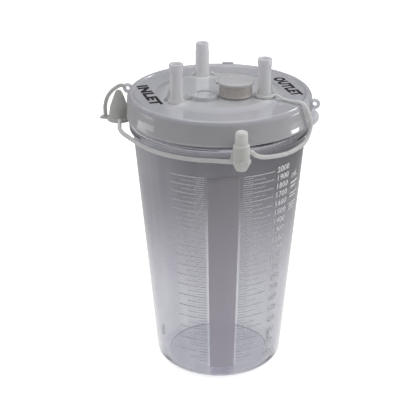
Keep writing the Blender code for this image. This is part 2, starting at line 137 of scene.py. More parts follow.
RIM_TOP = top("canister")
COLLAR_RADIUS = box("canister")[1].x
COLLAR_TOP = RIM_TOP - 17.8
COLLAR_BOTTOM = COLLAR_TOP - 5.0
WALL = 1.9
FLOOR = 2.8
CORNER = 17.5
INNER_CORNER = 7.0
FLOOR_RADIUS = 42.0  # of the flat inside of the jar's bottom

LOW_WALL = widest("canister", 14.0, 17.0)
HIGH_WALL = widest("canister", COLLAR_BOTTOM - 1.5, COLLAR_BOTTOM - 0.1)
WALL_SLOPE = (HIGH_WALL[0] - LOW_WALL[0]) / (HIGH_WALL[1] - LOW_WALL[1])
BASE_RADIUS = LOW_WALL[0] - WALL_SLOPE * LOW_WALL[1]

LID_TOP = bottom("pour_port_cap") - 0.5
RING_HEIGHT = LID_TOP - 2.0  # of the flat ring round the lid's raised middle
BEAD_HEIGHT = RING_HEIGHT + 1.2  # of the bead round the lid's edge
PLATEAU_RADIUS = 43.6
PLATEAU_FOOT = 50.8
LID_UNDER = top("filter_housing") + 0.3
SKIRT_BOTTOM = bottom("lid_shell")
SKIRT_RADIUS = -box("lid_shell")[0].y
SHOULDER_RADIUS = SKIRT_RADIUS - 1.0
PORTS = {name: centre(name) for name in ("patient_port", "tandem_port", "vacuum_port")}
VALVE_AT = centre("vacuum_port")
POUR_AT = centre("pour_port_cap")
TETHER_RADIUS = 1.6
TETHER_HEIGHT = bottom("front_tether") + TETHER_RADIUS
CONE_REACH = 84.8
CONE_AT = polar(CONE_DEG, CONE_REACH).xy


def jar_radius(height):
    return BASE_RADIUS + WALL_SLOPE * height


def mark_height(millilitres):
    """Height of a printed mark, from the volume of a cone's slice of the tapered jar."""
    base = jar_radius(FLOOR) - WALL
    radius = (base ** 3 + 3000 * WALL_SLOPE * millilitres / math.pi) ** (1 / 3)
    return MARK_SHARE * (radius + WALL - BASE_RADIUS) / WALL_SLOPE


# ---------------------------------------------------------------- shapes

def rounded(outline, steps=5):
    """An outline of (radius, height, round) with each corner rounded by its third number."""
    made = []
    for i, (x, y, rounding) in enumerate(outline):
        here = Vector((x, y))
        before = Vector(outline[i - 1][:2]) - here
        after = Vector(outline[(i + 1) % len(outline)][:2]) - here
        if not rounding or before.angle(after) > 3.13:
            made.append(here)
            continue
        half = before.angle(after) / 2
        reach = min(rounding / math.tan(half), before.length * 0.48, after.length * 0.48)
        first, last = before.normalized(), after.normalized()
        middle = here + (first + last).normalized() * reach / math.cos(half)
        start = (here + first * reach - middle).normalized()
        end = (here + last * reach - middle).normalized()
        radius = reach * math.tan(half)
        made += [middle + radius * start.slerp(end, step / steps, start) for step in range(steps + 1)]
    return made


def lathe(outline, steps=MEDIUM, at=(0.0, 0.0), closed=False, place=None):
    """A mesh turned about a vertical axis through at, from an outline of (radius, height)."""
    shape = bmesh.new()
    rings = []
    for radius, height in outline:
        if radius < 1e-4:
            rings.append([shape.verts.new((0.0, 0.0, height))] * steps)
            continue
        turn = [2 * math.pi * k / steps for k in range(steps)]
        rings.append([
            shape.verts.new((radius * math.cos(a), radius * math.sin(a), height)) for a in turn])
    pairs = list(zip(rings, rings[1:]))
    if closed:
        pairs.append((rings[-1], rings[0]))
    for upper, lower in pairs:
        for k in range(steps):
            loop = [upper[k], lower[k], lower[(k + 1) % steps], upper[(k + 1) % steps]]
            corners = list(dict.fromkeys(loop))
            if len(corners) > 2:
                shape.faces.new(corners)
    shape.transform(place or Matrix.Translation((*at, 0.0)))
    return finished(shape)


def turned(corners, steps=MEDIUM, at=(0.0, 0.0), closed=False, arc=5):
    """A lathe mesh whose corners (radius, height, round) are rounded in arc steps."""
    return lathe(rounded(corners, arc), steps, at, closed)


def finished(shape):
    """The mesh of a shape, in metres."""
    mesh = bpy.data.meshes.new("mesh")
    shape.transform(Matrix.Scale(MM, 4))
    bmesh.ops.recalc_face_normals(shape, faces=shape.faces)
    shape.to_mesh(mesh)
    shape.free()
    return mesh


def bridge(shape, first, second, where=None):
    """Faces between two rows of points, all the way round or only at the steps in where."""
    for k in where or range(len(first)):
        n = (k + 1) % len(first)
        shape.faces.new((first[k], first[n], second[n], second[k]))


def smooth_path(knots, per_span=8):
    """Catmull-Rom points through the knots."""
    ends = [2 * knots[0] - knots[1], *knots, 2 * knots[-1] - knots[-2]]
    path = []
    for i in range(1, len(ends) - 2):
        a, b, c, d = ends[i - 1:i + 3]
        for step in range(per_span):
            t = step / per_span
            path.append((2 * b + (c - a) * t + (2 * a - 5 * b + 4 * c - d) * t ** 2
                         + (3 * b - a - 3 * c + d) * t ** 3) / 2)
    path.append(knots[-1].copy())
    return path


def sweep(path, wide, tall, end_size=1.0, sides=16):
    """A round-ended strap; wide is its half width and tall its half height, scaled at the far end."""
    shape = bmesh.new()
    count = len(path)
    up = Vector((0.0, 0.0, 1.0))
    rings = []
    for i, place in enumerate(path):
        ahead = (path[min(i + 1, count - 1)] - path[max(i - 1, 0)]).normalized()
        side = ahead.cross(up).normalized()
        up = side.cross(ahead).normalized()
        rings.append((place, ahead, side, up))
    caps = [(math.cos(math.radians(a)), math.sin(math.radians(a))) for a in (80, 55, 30)]
    stations = [(rings[0], -reach, size) for size, reach in caps]
    for i, ring in enumerate(rings):
        late = max(0.0, 3 * i / (count - 1) - 2)
        stations.append((ring, 0.0, 1 + (end_size - 1) * late))
    stations += [(rings[-1], reach * end_size, size * end_size) for size, reach in reversed(caps)]
    loops = []
    for (place, ahead, side, above), reach, size in stations:
        middle = place + ahead * reach * tall
        loops.append([shape.verts.new(
            middle + side * wide * size * math.cos(2 * math.pi * k / sides)
            + above * tall * size * math.sin(2 * math.pi * k / sides)) for k in range(sides)])
    for first, second in zip(loops, loops[1:]):
        bridge(shape, first, second)
    shape.faces.new(loops[0][::-1])
    shape.faces.new(loops[-1])
    return finished(shape)


def prism(outline, thick, place):
    """A flat plate: the outline in its own XZ plane, thick along Y, moved by the matrix place."""
    shape = bmesh.new()
    front = [shape.verts.new((x, -thick / 2, z)) for x, z in outline]
    back = [shape.verts.new((x, thick / 2, z)) for x, z in outline]
    shape.faces.new(front)
    shape.faces.new(back[::-1])
    bridge(shape, back, front)
    shape.transform(place)
    return finished(shape)


def merged(meshes):
    """One mesh that holds several."""
    shape = bmesh.new()
    for mesh in meshes:
        shape.from_mesh(mesh)
        bpy.data.meshes.remove(mesh)
    made = bpy.data.meshes.new("mesh")
    shape.to_mesh(made)
    shape.free()
    return made


def placed(name, data):
    obj = bpy.data.objects.new(name, data)
    bpy.context.scene.collection.objects.link(obj)
    return obj


def piece(name, mesh, finish, body, *nodes):
    """Puts a mesh in the scene as a piece that rides on a body and stands for the named nodes."""
    obj = placed(name, mesh)
    mesh.name = name
    mesh.materials.append(finishes[finish])
    mesh.polygons.foreach_set("use_smooth", [True] * len(mesh.polygons))
    mesh.set_sharp_from_angle(angle=math.radians(38))
    if body:
        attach(obj, body)
    if nodes:
        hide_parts(*nodes)
    return obj


def even_normals(obj):
    """Keeps broad faces flat beside their rounded edges."""
    weighted = obj.modifiers.new("Even normals", "WEIGHTED_NORMAL")
    weighted.keep_sharp = True
    return obj


def soften(obj, width, segments=3):
    bevel = obj.modifiers.new("Soft edges", "BEVEL")
    bevel.width = width * MM
    bevel.segments = segments
    bevel.limit_method = "ANGLE"
    bevel.angle_limit = math.radians(35)
    return even_normals(obj)


def thicken(obj, thickness):
    skin = obj.modifiers.new("Thickness", "SOLIDIFY")
    skin.thickness = thickness * MM
    skin.offset = 1.0


def plate(name, outline, thick, place, finish, body, width, segments=3):
    """A prism as a piece, with its edges softened over the given width."""
    soften(piece(name, prism(outline, thick, place), finish, body), width, segments)


def spin(azimuth_deg):
    return Matrix.Rotation(math.radians(azimuth_deg), 4, "Z")


def shift(x, y, z=0.0):
    return Matrix.Translation((x, y, z))


# ---------------------------------------------------------------- material helpers

def network(name):
    made = bpy.data.materials.new(name)
    made.use_nodes = True
    made.node_tree.nodes.clear()
    return made, made.node_tree


def add(tree, kind, inputs=None, **settings):
    """A node with its settings and inputs; an input is a value or another node's output."""
    made = tree.nodes.new("ShaderNode" + kind)
    for key, value in settings.items():
        setattr(made, key, value)
    for key, value in (inputs or {}).items():
        socket = made.inputs[key]
        if isinstance(value, bpy.types.NodeSocket):
            tree.links.new(value, socket)
        else:
            socket.default_value = (*value, 1.0) if socket.type == "RGBA" else value
    return made


def place_of(tree):
    """The shaded point's place, in millimetres."""
    metres = add(tree, "TexCoord").outputs["Object"]
    return add(tree, "VectorMath", {0: metres, "Scale": 1 / MM}, operation="SCALE").outputs[0]


def parts_of(tree):
    return add(tree, "SeparateXYZ", {"Vector": place_of(tree)}).outputs


def height_of(tree):
    return parts_of(tree)["Z"]


def math_node(tree, how, first, second=0.0):
    return add(tree, "Math", {0: first, 1: second}, operation=how).outputs[0]


def noise(tree, scale, detail=2.0, stretch=None):
    """Noise with scale features to the metre, drawn out along an axis by stretch."""
    where = place_of(tree)
    if stretch:
        mapping = add(tree, "Mapping", {"Vector": where, "Scale": stretch})
        where = mapping.outputs["Vector"]
    inputs = {"Vector": where, "Scale": scale * MM, "Detail": detail}
    return add(tree, "TexNoise", inputs).outputs["Fac"]


def between(tree, value, low, high, to_low=0.0, to_high=1.0, smooth=False):
    """value mapped from low..high to to_low..to_high."""
    inputs = {"Value": value, "From Min": low, "From Max": high, "To Min": to_low, "To Max": to_high}
    kind = "SMOOTHSTEP" if smooth else "LINEAR"
    return add(tree, "MapRange", inputs, interpolation_type=kind).outputs["Result"]


def blend_colour(tree, share, first, second, how="MIX"):
    inputs = {0: share, 6: first, 7: second}
    return add(tree, "Mix", inputs, data_type="RGBA", blend_type=how).outputs[2]


def tinted(tree, colour, tint, share=1.0):
    """The colour multiplied by a tint or a shade, as far as share says."""
    return blend_colour(tree, share, colour, tint, "MULTIPLY")


def ramp(tree, value, stops):
    made = add(tree, "ValToRGB", {"Fac": value})
    elements = made.color_ramp.elements
    while len(elements) < len(stops):
        elements.new(0.5)
    for element, (position, colour) in zip(elements, stops):
        element.position = position
        element.color = (*colour, 1.0)
    return made.outputs["Color"]


def bump(tree, height, distance, strength=1.0):
    inputs = {"Height": height, "Distance": distance * MM, "Strength": strength}
    return add(tree, "Bump", inputs).outputs["Normal"]


def output(tree, shader):
    add(tree, "OutputMaterial", {"Surface": shader})


def principled(tree, **inputs):
    """A principled shader; an input's name is written with _ for its spaces."""
    named = {name.replace("_", " "): value for name, value in inputs.items()}
    return add(tree, "BsdfPrincipled", named).outputs["BSDF"]


def mix_shaders(tree, share, first, second):
    return add(tree, "MixShader", {0: share, 1: first, 2: second}).outputs[0]


# ---------------------------------------------------------------- materials

def moulded(name, low, high, roughness, soft=0.25, grain=0.5, coat=0.0, shade=None, through=0.0,
            facing_shade=None):
    """Moulded plastic: clouded between two colours, finely grained, with patches of rub.

    shade, if given, is a list of (height, tint) that the colour is multiplied by. through is the
    share of light that passes into the piece from behind, and facing_shade is a painted shade laid
    where the piece is looked at squarely, so that its edges show a painted sheen.
    """
    made, tree = network(name)
    clouds = noise(tree, 55.0, 4.0)
    colour = blend_colour(tree, between(tree, clouds, 0.3, 0.7), low, high)
    if shade:
        foot, head = shade[0][0], shade[-1][0]
        stops = [((height - foot) / (head - foot), tint) for height, tint in shade]
        tints = ramp(tree, between(tree, height_of(tree), foot, head), stops)
        colour = tinted(tree, colour, tints)
    if facing_shade:
        # Painted sheen: the colour is shaded where the piece faces the eye squarely, so its edges look
        # lit
        facing = add(tree, "LayerWeight", {"Blend": 0.35}).outputs["Facing"]
        facing_share = between(tree, facing, 0.05, 0.55, 1.0, 0.0, smooth=True)
        colour = tinted(tree, colour, facing_shade, facing_share)
    rub = between(tree, noise(tree, 160.0, 5.0), 0.3, 0.7, roughness * 0.75, roughness * 1.35)
    skin = moulded_skin(tree, grain)
    surface = principled(
        tree, Base_Color=colour, Roughness=rub, IOR=1.50, Normal=skin, Subsurface_Weight=soft,
        Subsurface_Radius=SOAK, Subsurface_Scale=SOAK_DEPTH, Coat_Weight=coat, Coat_Roughness=0.04)
    if through:
        glow = add(tree, "BsdfTranslucent", {"Color": colour, "Normal": skin})
        surface = mix_shaders(tree, through, surface, glow.outputs[0])
    output(tree, surface)
    return made


def moulded_skin(tree, grain):
    """Fine grain over the slow waves that a mould leaves."""
    fine = bump(tree, noise(tree, 1500.0, 3.0), grain * 0.02)
    return add(tree, "Bump", {
        "Height": noise(tree, 90.0, 2.0), "Distance": grain * 0.25 * MM, "Strength": 0.25,
        "Normal": fine}).outputs["Normal"]


def lid_plastic():
    """Polished milky plastic with painted shade on its ring and skirt and painted nozzle reflections."""
    made, tree = network("lid_milky_plastic")
    parts = parts_of(tree)
    level = add(tree, "CombineXYZ", {"X": parts["X"], "Y": parts["Y"]}).outputs[0]
    reach = add(tree, "VectorMath", {0: level}, operation="LENGTH").outputs["Value"]
    clouds = between(tree, noise(tree, 40.0, 4.0), 0.3, 0.7)
    colour = blend_colour(tree, clouds, (0.570, 0.575, 0.588), (0.610, 0.615, 0.624))
    # Painted shade: the flat ring round the raised middle is darkened
    ring = between(tree, reach, PLATEAU_RADIUS, PLATEAU_FOOT, smooth=True)
    colour = tinted(tree, colour, (0.90, 0.895, 0.93), ring)
    # Painted shade: the skirt is given a warmer, shaded cast
    skirt = between(tree, parts["Z"], RING_HEIGHT - 7, RING_HEIGHT, 1.0, 0.0, smooth=True)
    colour = tinted(tree, colour, (1.0, 0.975, 0.955), skirt)
    # Painted reflections of the nozzles pale the lid round each nozzle's foot; thick holds their share
    thick = 0.0
    for at in PORTS.values():
        apart = add(tree, "VectorMath", {0: level, 1: (*at, 0.0)}, operation="DISTANCE").outputs["Value"]
        thick = math_node(tree, "MAXIMUM", thick, between(tree, apart, 6, 18, 1.0, 0.0, smooth=True))
    colour = tinted(tree, colour, (1.26, 1.26, 1.25), thick)
    rub = between(tree, noise(tree, 160.0, 5.0), 0.3, 0.7, 0.14, 0.24)
    output(tree, principled(
        tree, Base_Color=colour, Roughness=rub, IOR=1.50, Normal=moulded_skin(tree, 0.35),
        Subsurface_Weight=0.3, Subsurface_Radius=SOAK, Subsurface_Scale=SOAK_DEPTH, Coat_Weight=1.0,
        Coat_Roughness=0.03))
    return made


def clear_plastic():
    """Polished clear plastic, faintly tinted, with painted shade towards the neck and painted streaks.

    The streaks are painted reflections. A painted highlight lightens it high on its left flank and
    in a narrow margin on each side of the write-on strip; painted shade darkens its floor.
    """
    made, tree = network("jar_clear_plastic")
    parts = parts_of(tree)
    height = parts["Z"]
    share = between(tree, height, 20, COLLAR_TOP)
    neck = between(tree, height, COLLAR_TOP, COLLAR_TOP + 1.5)
    tint = blend_colour(tree, neck, ramp(tree, share, JAR_TINT_AND_SHADE), NECK_SHADE)
    # Painted highlight: the tint is lightened high on the jar's left flank
    flank = math_node(tree, "MULTIPLY", between(tree, parts["X"], -65, -20, 1.0, 0.0),
                      between(tree, height, 130, 180))
    tint = blend_colour(tree, flank, tint, (0.80, 0.80, 0.825))
    tint = beside_strip(tree, parts, tint)
    # Painted shade: the jar's floor and foot are darkened
    sunk = between(tree, height, FLOOR - 0.1, FLOOR + 0.2, 1.0, 0.0)
    tint = tinted(tree, tint, (0.84, 0.84, 0.88), sunk)
    # Painted reflections: lengthwise streaks in the tint
    reflection_streaks = noise(tree, 75.0, 4.0, (1.0, 1.0, 0.05))
    tint = tinted(tree, tint, (0.90, 0.90, 0.92), between(tree, reflection_streaks, 0.35, 0.65, 0.0, 0.9))
    waves = bump(tree, noise(tree, 45.0, 1.0, (1.0, 1.0, 0.35)), 0.10, 0.5)
    rub = between(tree, noise(tree, 240.0, 4.0), 0.35, 0.7, 0.0, 0.025)
    glass = principled(tree, Base_Color=tint, Roughness=rub, IOR=1.52, Transmission_Weight=1.0,
                       Normal=waves)
    passing = add(tree, "BsdfTransparent", {"Color": tint}).outputs[0]
    path = add(tree, "LightPath").outputs
    lit_through = math_node(tree, "MAXIMUM", path["Is Shadow Ray"], path["Is Diffuse Ray"])
    trapped = math_node(tree, "GREATER_THAN", path["Glossy Depth"], 2.5)
    straight = math_node(tree, "MAXIMUM", lit_through, trapped)
    output(tree, mix_shaders(tree, straight, glass, passing))
    return made


def beside_strip(tree, parts, tint):
    """The jar's tint, lightened by a painted highlight in a margin on each side of the strip and
    darkened by painted shade below the strip's foot.
    """
    turn = math_node(tree, "ARCTAN2", parts["Y"], parts["X"])
    aside = math_node(tree, "ABSOLUTE", math_node(tree, "ADD", turn, -math.radians(STRIP_DEG)))
    edge = math.radians(STRIP_HALF_DEG)
    soft, width = math.radians(0.3), math.radians(MARGIN_DEG)
    covered = between(tree, aside, edge - soft, edge + soft, 1.0, 0.0)
    margin = between(tree, aside, edge + width - soft, edge + width + soft, 1.0, 0.0)
    foot = bottom("write_on_strip")
    low_down = between(tree, parts["Z"], 100, 170, 0.8, 0.0)
    above = between(tree, parts["Z"], foot - 1, foot + 1)
    # Painted highlight in the margins, low down on the jar
    clear = math_node(tree, "MULTIPLY", math_node(tree, "MULTIPLY", margin, low_down), above)
    tint = blend_colour(tree, clear, tint, (1.0, 1.0, 1.0))
    # Painted shade below the strip's foot
    below = math_node(tree, "MULTIPLY", covered, math_node(tree, "SUBTRACT", 1.0, above))
    return tinted(tree, tint, (0.88, 0.87, 0.91), below)


def frosted_film():
    """A translucent write-on film: fine-grained grey that lets some of the jar show through."""
    made, tree = network("strip_film")
    # The film's colour is a little darker towards its top, painted shade under the lid
    share = between(tree, height_of(tree), 20, 190)
    colour = ramp(tree, share, ((0.0, (0.50, 0.48, 0.54)), (0.6, (0.50, 0.47, 0.52)),
                                (1.0, (0.48, 0.46, 0.48))))
    fibres = noise(tree, 900.0, 4.0)
    paler = between(tree, fibres, 0.3, 0.7, 0.0, 0.10)
    colour = blend_colour(tree, paler, colour, (0.8, 0.8, 0.8))
    matt = principled(tree, Base_Color=colour, Roughness=0.55, Normal=bump(tree, fibres, 0.01))
    through = add(tree, "BsdfTransparent", {"Color": (0.92, 0.90, 0.93)}).outputs[0]
    output(tree, mix_shaders(tree, 0.42, matt, through))
    return made


def ink(name, colour, foot_colour=None):
    """Printed ink that wears a little thin in places, and may darken towards the jar's foot."""
    made, tree = network(name)
    fresh = blend_colour(tree, between(tree, height_of(tree), 80, 190), foot_colour or colour, colour)
    wear = between(tree, noise(tree, 700.0, 4.0), 0.35, 0.65, 0.86, 1.0)
    output(tree, principled(tree, Base_Color=tinted(tree, fresh, wear), Roughness=0.5))
    return made


def fibre_disc():
    """Felted filter membrane."""
    made, tree = network("filter_felt")
    felt = noise(tree, 1300.0, 8.0)
    colour = blend_colour(tree, felt, (0.78, 0.77, 0.72), (0.95, 0.95, 0.92))
    output(tree, principled(tree, Base_Color=colour, Roughness=0.95, Normal=bump(tree, felt, 0.12)))
    return made


def make_materials():
    cap_low, cap_high = bottom("pour_port_cap"), top("pour_port_cap")
    # Cap body tints by height: painted light lifts the body above the flange's colour, and a warm brown,
    # partly the cap's own tone and partly painted shade, deepens towards the flange
    brown_tone_light_and_shade = [(cap_low, (1.15, 1.13, 1.09)), (cap_low + 3.5, (1.15, 1.09, 1.02)),
             (cap_high - 3.2, (1.12, 1.05, 0.98)), (cap_high - 2.2, (1.0, 1.0, 1.0))]
    # Painted light on the nozzles: paler at the foot and darker towards the top
    painted_nozzle_light = [(LID_TOP + 4, (1.02, 1.02, 1.02)), (LID_TOP + 26, (0.94, 0.94, 0.955))]
    return {
        "jar": clear_plastic(),
        "strip": frosted_film(),
        "lid": lid_plastic(),
        "port": moulded("port_milky_plastic", (0.95, 0.95, 0.95), (0.98, 0.98, 0.98), 0.22, 0.2,
                        coat=0.6, shade=painted_nozzle_light, through=0.40),
        "cap": moulded("cap_milky_plastic", (0.68, 0.68, 0.69), (0.73, 0.73, 0.74), 0.22, 0.35,
                       coat=0.5, shade=brown_tone_light_and_shade, through=0.12, facing_shade=(0.88, 0.86, 0.84)),
        "cone": moulded("cone_natural_plastic", (0.74, 0.745, 0.725), (0.81, 0.81, 0.79), 0.30, 0.3,
                        through=0.4, facing_shade=(0.95, 0.95, 0.93)),
        "plug": moulded("plug_natural_plastic", (0.93, 0.93, 0.92), (0.97, 0.97, 0.96), 0.30, 0.2,
                        through=0.42, facing_shade=(0.95, 0.95, 0.92)),
        "tether": moulded("tether_natural_plastic", (0.88, 0.885, 0.87), (0.93, 0.935, 0.915), 0.34,
                          0.2, through=0.35),
        "tab": moulded("tab_milky_plastic", (0.88, 0.90, 0.92), (0.93, 0.94, 0.96), 0.22, 0.2,
                       coat=0.5, through=0.4),
        "valve": moulded("valve_milky_plastic", (0.70, 0.71, 0.73), (0.78, 0.79, 0.80), 0.30, 0.4),
        "float": moulded("float_orange_plastic", (0.80, 0.34, 0.10), (0.88, 0.42, 0.16), 0.38, 0.15),
        "rubber": moulded("seal_grey_rubber", (0.20, 0.21, 0.23), (0.26, 0.27, 0.29), 0.62, 0.0,
                          grain=2.0),
        "felt": fibre_disc(),
        "white ink": ink("scale_white_ink", (1.0, 1.0, 1.0), (0.62, 0.62, 0.65)),
        "grey ink": ink("scale_grey_ink", (0.92, 0.92, 0.93), (0.52, 0.52, 0.54)),
        "black ink": ink("label_black_ink", (0.008, 0.008, 0.009)),
    }


# ---------------------------------------------------------------- jar

def make_jar():
    """The jar: up the inside from its sunk floor, over the rim, down past the collar to the foot."""
    foot = jar_radius(CORNER) - CORNER
    neck = COLLAR_RADIUS - 1.6
    bead = COLLAR_RADIUS - 0.6
    inner = jar_radius(COLLAR_TOP) - WALL
    recess = 0.6
    mesh = turned([
        (0.0, FLOOR - 0.3, 0),
        (FLOOR_RADIUS - 0.6, FLOOR - 0.3, 0.5),
        (FLOOR_RADIUS, FLOOR + 0.3, 0.5),
        (jar_radius(0) - WALL, FLOOR + 0.3, INNER_CORNER),
        (inner, COLLAR_TOP, 2),
        (inner, RIM_TOP, 0.5),
        (bead, RIM_TOP, 0.6),
        (bead, RIM_TOP - 3.4, 0.4),
        (neck, RIM_TOP - 4.6, 0.5),
        (neck, COLLAR_TOP + 0.8, 0.6),
        (COLLAR_RADIUS, COLLAR_TOP, 0.8),
        (COLLAR_RADIUS, COLLAR_BOTTOM, 0.8),
        (jar_radius(COLLAR_BOTTOM), COLLAR_BOTTOM - 0.8, 0.6),
        (jar_radius(0), 0.0, CORNER),
        (foot - 2.0, 0.0, 6.0),
        (foot - 14.0, recess, 20.0),
        (0.0, recess, 0),
    ], FINE, arc=9)
    piece("jar_wall", mesh, "jar", "jar", "canister")


def make_stacking_lugs():
    """Small teardrop ribs low on the jar's wall, where nested jars rest on one another."""
    shape = bmesh.new()
    height = 35.4
    for azimuth in LUGS_DEG:
        place = spin(azimuth) @ shift(jar_radius(height) - 0.3, 0.0, height)
        size = Matrix.Diagonal((1.3, 1.3, 5.2, 1.0))
        bmesh.ops.create_uvsphere(shape, u_segments=24, v_segments=24, radius=1.0, matrix=place @ size)
    piece("stacking_lugs", finished(shape), "jar", "jar")


def make_strip():
    """The write-on strip: a tapered film with a stepped top edge."""
    low, high = bottom("write_on_strip"), top("write_on_strip")
    lift = 0.35
    shape = bmesh.new()
    columns, rows = 24, 40
    grid = []
    for i in range(columns + 1):
        azimuth = STRIP_DEG + STRIP_HALF_DEG * (2 * i / columns - 1)
        head = high - (1.8 if i < columns * 0.3 else 0.0)
        grid.append([shape.verts.new(polar(azimuth, jar_radius(z) + lift, z)) for z in (
            low + (head - low) * j / rows for j in range(rows + 1))])
    for left, right in zip(grid, grid[1:]):
        bridge(shape, right, left, range(rows))
    strip = piece("write_on_strip_film", finished(shape), "strip", "jar", "write_on_strip")
    thicken(strip, 0.2)


# ---------------------------------------------------------------- printed marks

def wall_band(shape, start_deg, end_deg, height, thick, lift=0.12):
    """A printed line round part of the jar's wall."""
    columns = max(2, int(abs(end_deg - start_deg)))
    edges = []
    for z in (height - thick / 2, height + thick / 2):
        edges.append([shape.verts.new(polar(
            start_deg + (end_deg - start_deg) * i / columns, jar_radius(z) + lift, z))
            for i in range(columns + 1)])
    bridge(shape, *edges, range(columns))


def printed(name, mesh, finish, body="jar"):
    thicken(piece(name, mesh, finish, body), 0.04)


def text_points(words, size, spacing=1.0, weight=0.0):
    """A flat mesh of the words in Blender's own font, in the XY plane, starting at x = 0.

    weight is how far each stroke's edges are moved outwards.
    """
    curve = bpy.data.curves.new(words, "FONT")
    curve.body = words
    curve.size = size * MM
    curve.offset = weight * MM
    curve.space_character = spacing
    curve.align_x = "LEFT"
    curve.align_y = "CENTER"
    curve.resolution_u = 3
    holder = placed(words, curve)
    graph = bpy.context.evaluated_depsgraph_get()
    mesh = bpy.data.meshes.new_from_object(holder.evaluated_get(graph))
    bpy.data.objects.remove(holder)
    bpy.data.curves.remove(curve)
    return mesh


def on_wall(mesh, start_deg, height, lift=0.12):
    """Wraps a flat mesh on to the jar's wall."""
    for vertex in mesh.vertices:
        flat = vertex.co / MM
        azimuth = start_deg + math.degrees(flat.x / jar_radius(height))
        z = height + flat.y
        vertex.co = polar(azimuth, jar_radius(z) + lift, z) * MM
    return mesh


def make_graduations():
    """Lines every 50 mL on both sides of the strip, every other one long, with ticks between them."""
    bold, fine = bmesh.new(), bmesh.new()
    gap = STRIP_HALF_DEG + MARGIN_DEG + 0.4
    for volume in range(75, 2001, 25):
        height = mark_height(volume)
        if height < CORNER:
            continue
        if volume % 100 == 0:
            wall_band(bold, STRIP_DEG + gap, -50.5, height, 0.60)
            wall_band(bold, -124.0, STRIP_DEG - gap, height, 0.60)
            continue
        reach = 16.0 if volume % 50 == 0 else 7.0
        wall_band(fine, STRIP_DEG + gap, STRIP_DEG + gap + reach, height, 0.42)
        wall_band(fine, STRIP_DEG - gap - reach, STRIP_DEG - gap, height, 0.42)
    printed("scale_lines", finished(bold), "grey ink")
    printed("scale_ticks", finished(fine), "grey ink")


def make_numerals():
    words = []
    for volume in range(100, 2001, 100):
        start = -48.5 if volume >= 1000 else -45.0
        words.append(on_wall(text_points(str(volume), 6.8, 1.06, 0.22), start, mark_height(volume)))
    printed("scale_numerals", merged(words), "white ink")


def make_unit_block():
    """The unit sign and plain bars that stand for the small print beside the numerals."""
    bars = bmesh.new()
    for height, thick, end in ((170.5, 1.8, -21.5), (167.0, 1.8, -24.0), (161.0, 1.5, -21.0),
                               (158.3, 1.5, -23.0), (152.0, 1.4, -21.5), (149.4, 1.4, -21.5),
                               (146.8, 1.4, -24.0)):
        wall_band(bars, -32.0, end, height, thick)
    unit = on_wall(text_points("mL", 8.0, 1.0, 0.15), -32.0, 177.5)
    printed("scale_unit", merged([finished(bars), unit]), "white ink")


def make_lid_label(name, words, start, end):
    """A black word on the lid's flat ring, from start to end."""
    along = (end - start) * MM
    mesh = text_points(words, 12.0, 1.10, 0.62)
    stretch = along.length / max(vertex.co.x for vertex in mesh.vertices)
    turn = Matrix.Rotation(math.atan2(along.y, along.x), 4, "Z")
    for vertex in mesh.vertices:
        flat = turn @ Vector((vertex.co.x * stretch, vertex.co.y, 0.0))
        vertex.co = flat + Vector((*start, RING_HEIGHT + 0.06)) * MM
    printed(name, mesh, "black ink", "lid")


# ---------------------------------------------------------------- lid

def make_lid_shell():
    """Raised middle, flat ring, edge bead, skirt that flares softly to its foot, and the groove."""
    neck = COLLAR_RADIUS - 0.2
    plug = 67.0
    mesh = turned([
        (0.0, LID_TOP, 0),
        (PLATEAU_RADIUS, LID_TOP, 8.0),
        (PLATEAU_FOOT, RING_HEIGHT, 2.5),
        (SHOULDER_RADIUS - 5.8, RING_HEIGHT, 1.2),
        (SHOULDER_RADIUS - 4.6, BEAD_HEIGHT, 1.2),
        (SHOULDER_RADIUS - 1.8, BEAD_HEIGHT - 0.3, 3.0),
        (SHOULDER_RADIUS - 0.1, BEAD_HEIGHT - 3.2, 4.0),
        (SHOULDER_RADIUS + 0.1, SKIRT_BOTTOM + 9.5, 6.0),
        (SKIRT_RADIUS - 0.5, SKIRT_BOTTOM + 5.0, 4.0),
        (SKIRT_RADIUS, SKIRT_BOTTOM + 1.6, 1.6),
        (SKIRT_RADIUS - 0.9, SKIRT_BOTTOM, 0.8),
        (neck, SKIRT_BOTTOM, 0.3),
        (neck, RIM_TOP + 2.0, 0.3),
        (plug, RIM_TOP + 2.0, 0.3),
        (plug, RIM_TOP - 5.5, 0.5),
        (plug - 2.0, RIM_TOP - 5.5, 0.5),
        (plug - 2.0, LID_UNDER, 0.4),
        (0.0, LID_UNDER, 0),
    ], FINE, arc=8)
    even_normals(piece("lid_body", mesh, "lid", "lid", "lid_shell"))


def make_spout():
    radius, bore = 11.0, 9.2
    high = LID_TOP + 9.4
    mesh = turned([
        (bore, high, 0.4),
        (radius, high, 0.5),
        (radius, LID_TOP + 0.6, 0.6),
        (radius + 0.8, LID_TOP - 0.3, 0),
        (bore, LID_TOP - 0.3, 0),
    ], at=POUR_AT, closed=True)
    piece("pour_spout", mesh, "lid", "lid")


def make_boss():
    """A low closed boss with a raised rim and a stepped foot."""
    at = Vector((-11.8, -20.8))
    high = LID_TOP + 3.8
    boss = turned([
        (0.0, high - 1.3, 0),
        (7.8, high - 1.3, 0.6),
        (8.5, high, 0.4),
        (10.0, high, 0.6),
        (10.5, LID_TOP + 0.5, 0.5),
        (11.6, LID_TOP - 0.3, 0),
        (0.0, LID_TOP - 0.3, 0),
    ], at=at)
    even_normals(piece("lid_boss", boss, "lid", "lid"))
    return at


def rib(name, foot, away_deg, length, height, thick=1.5):
    """A triangular web that leans on a nozzle at foot and runs out along the lid."""
    place = shift(*foot, LID_TOP) @ spin(away_deg)
    outline = [(0.0, -2.0), (length, -2.0), (length, 0.4), (length * 0.78, height * 0.35),
               (length * 0.58, height)]
    plate(name, outline, thick, place, "lid", "lid", 0.35)


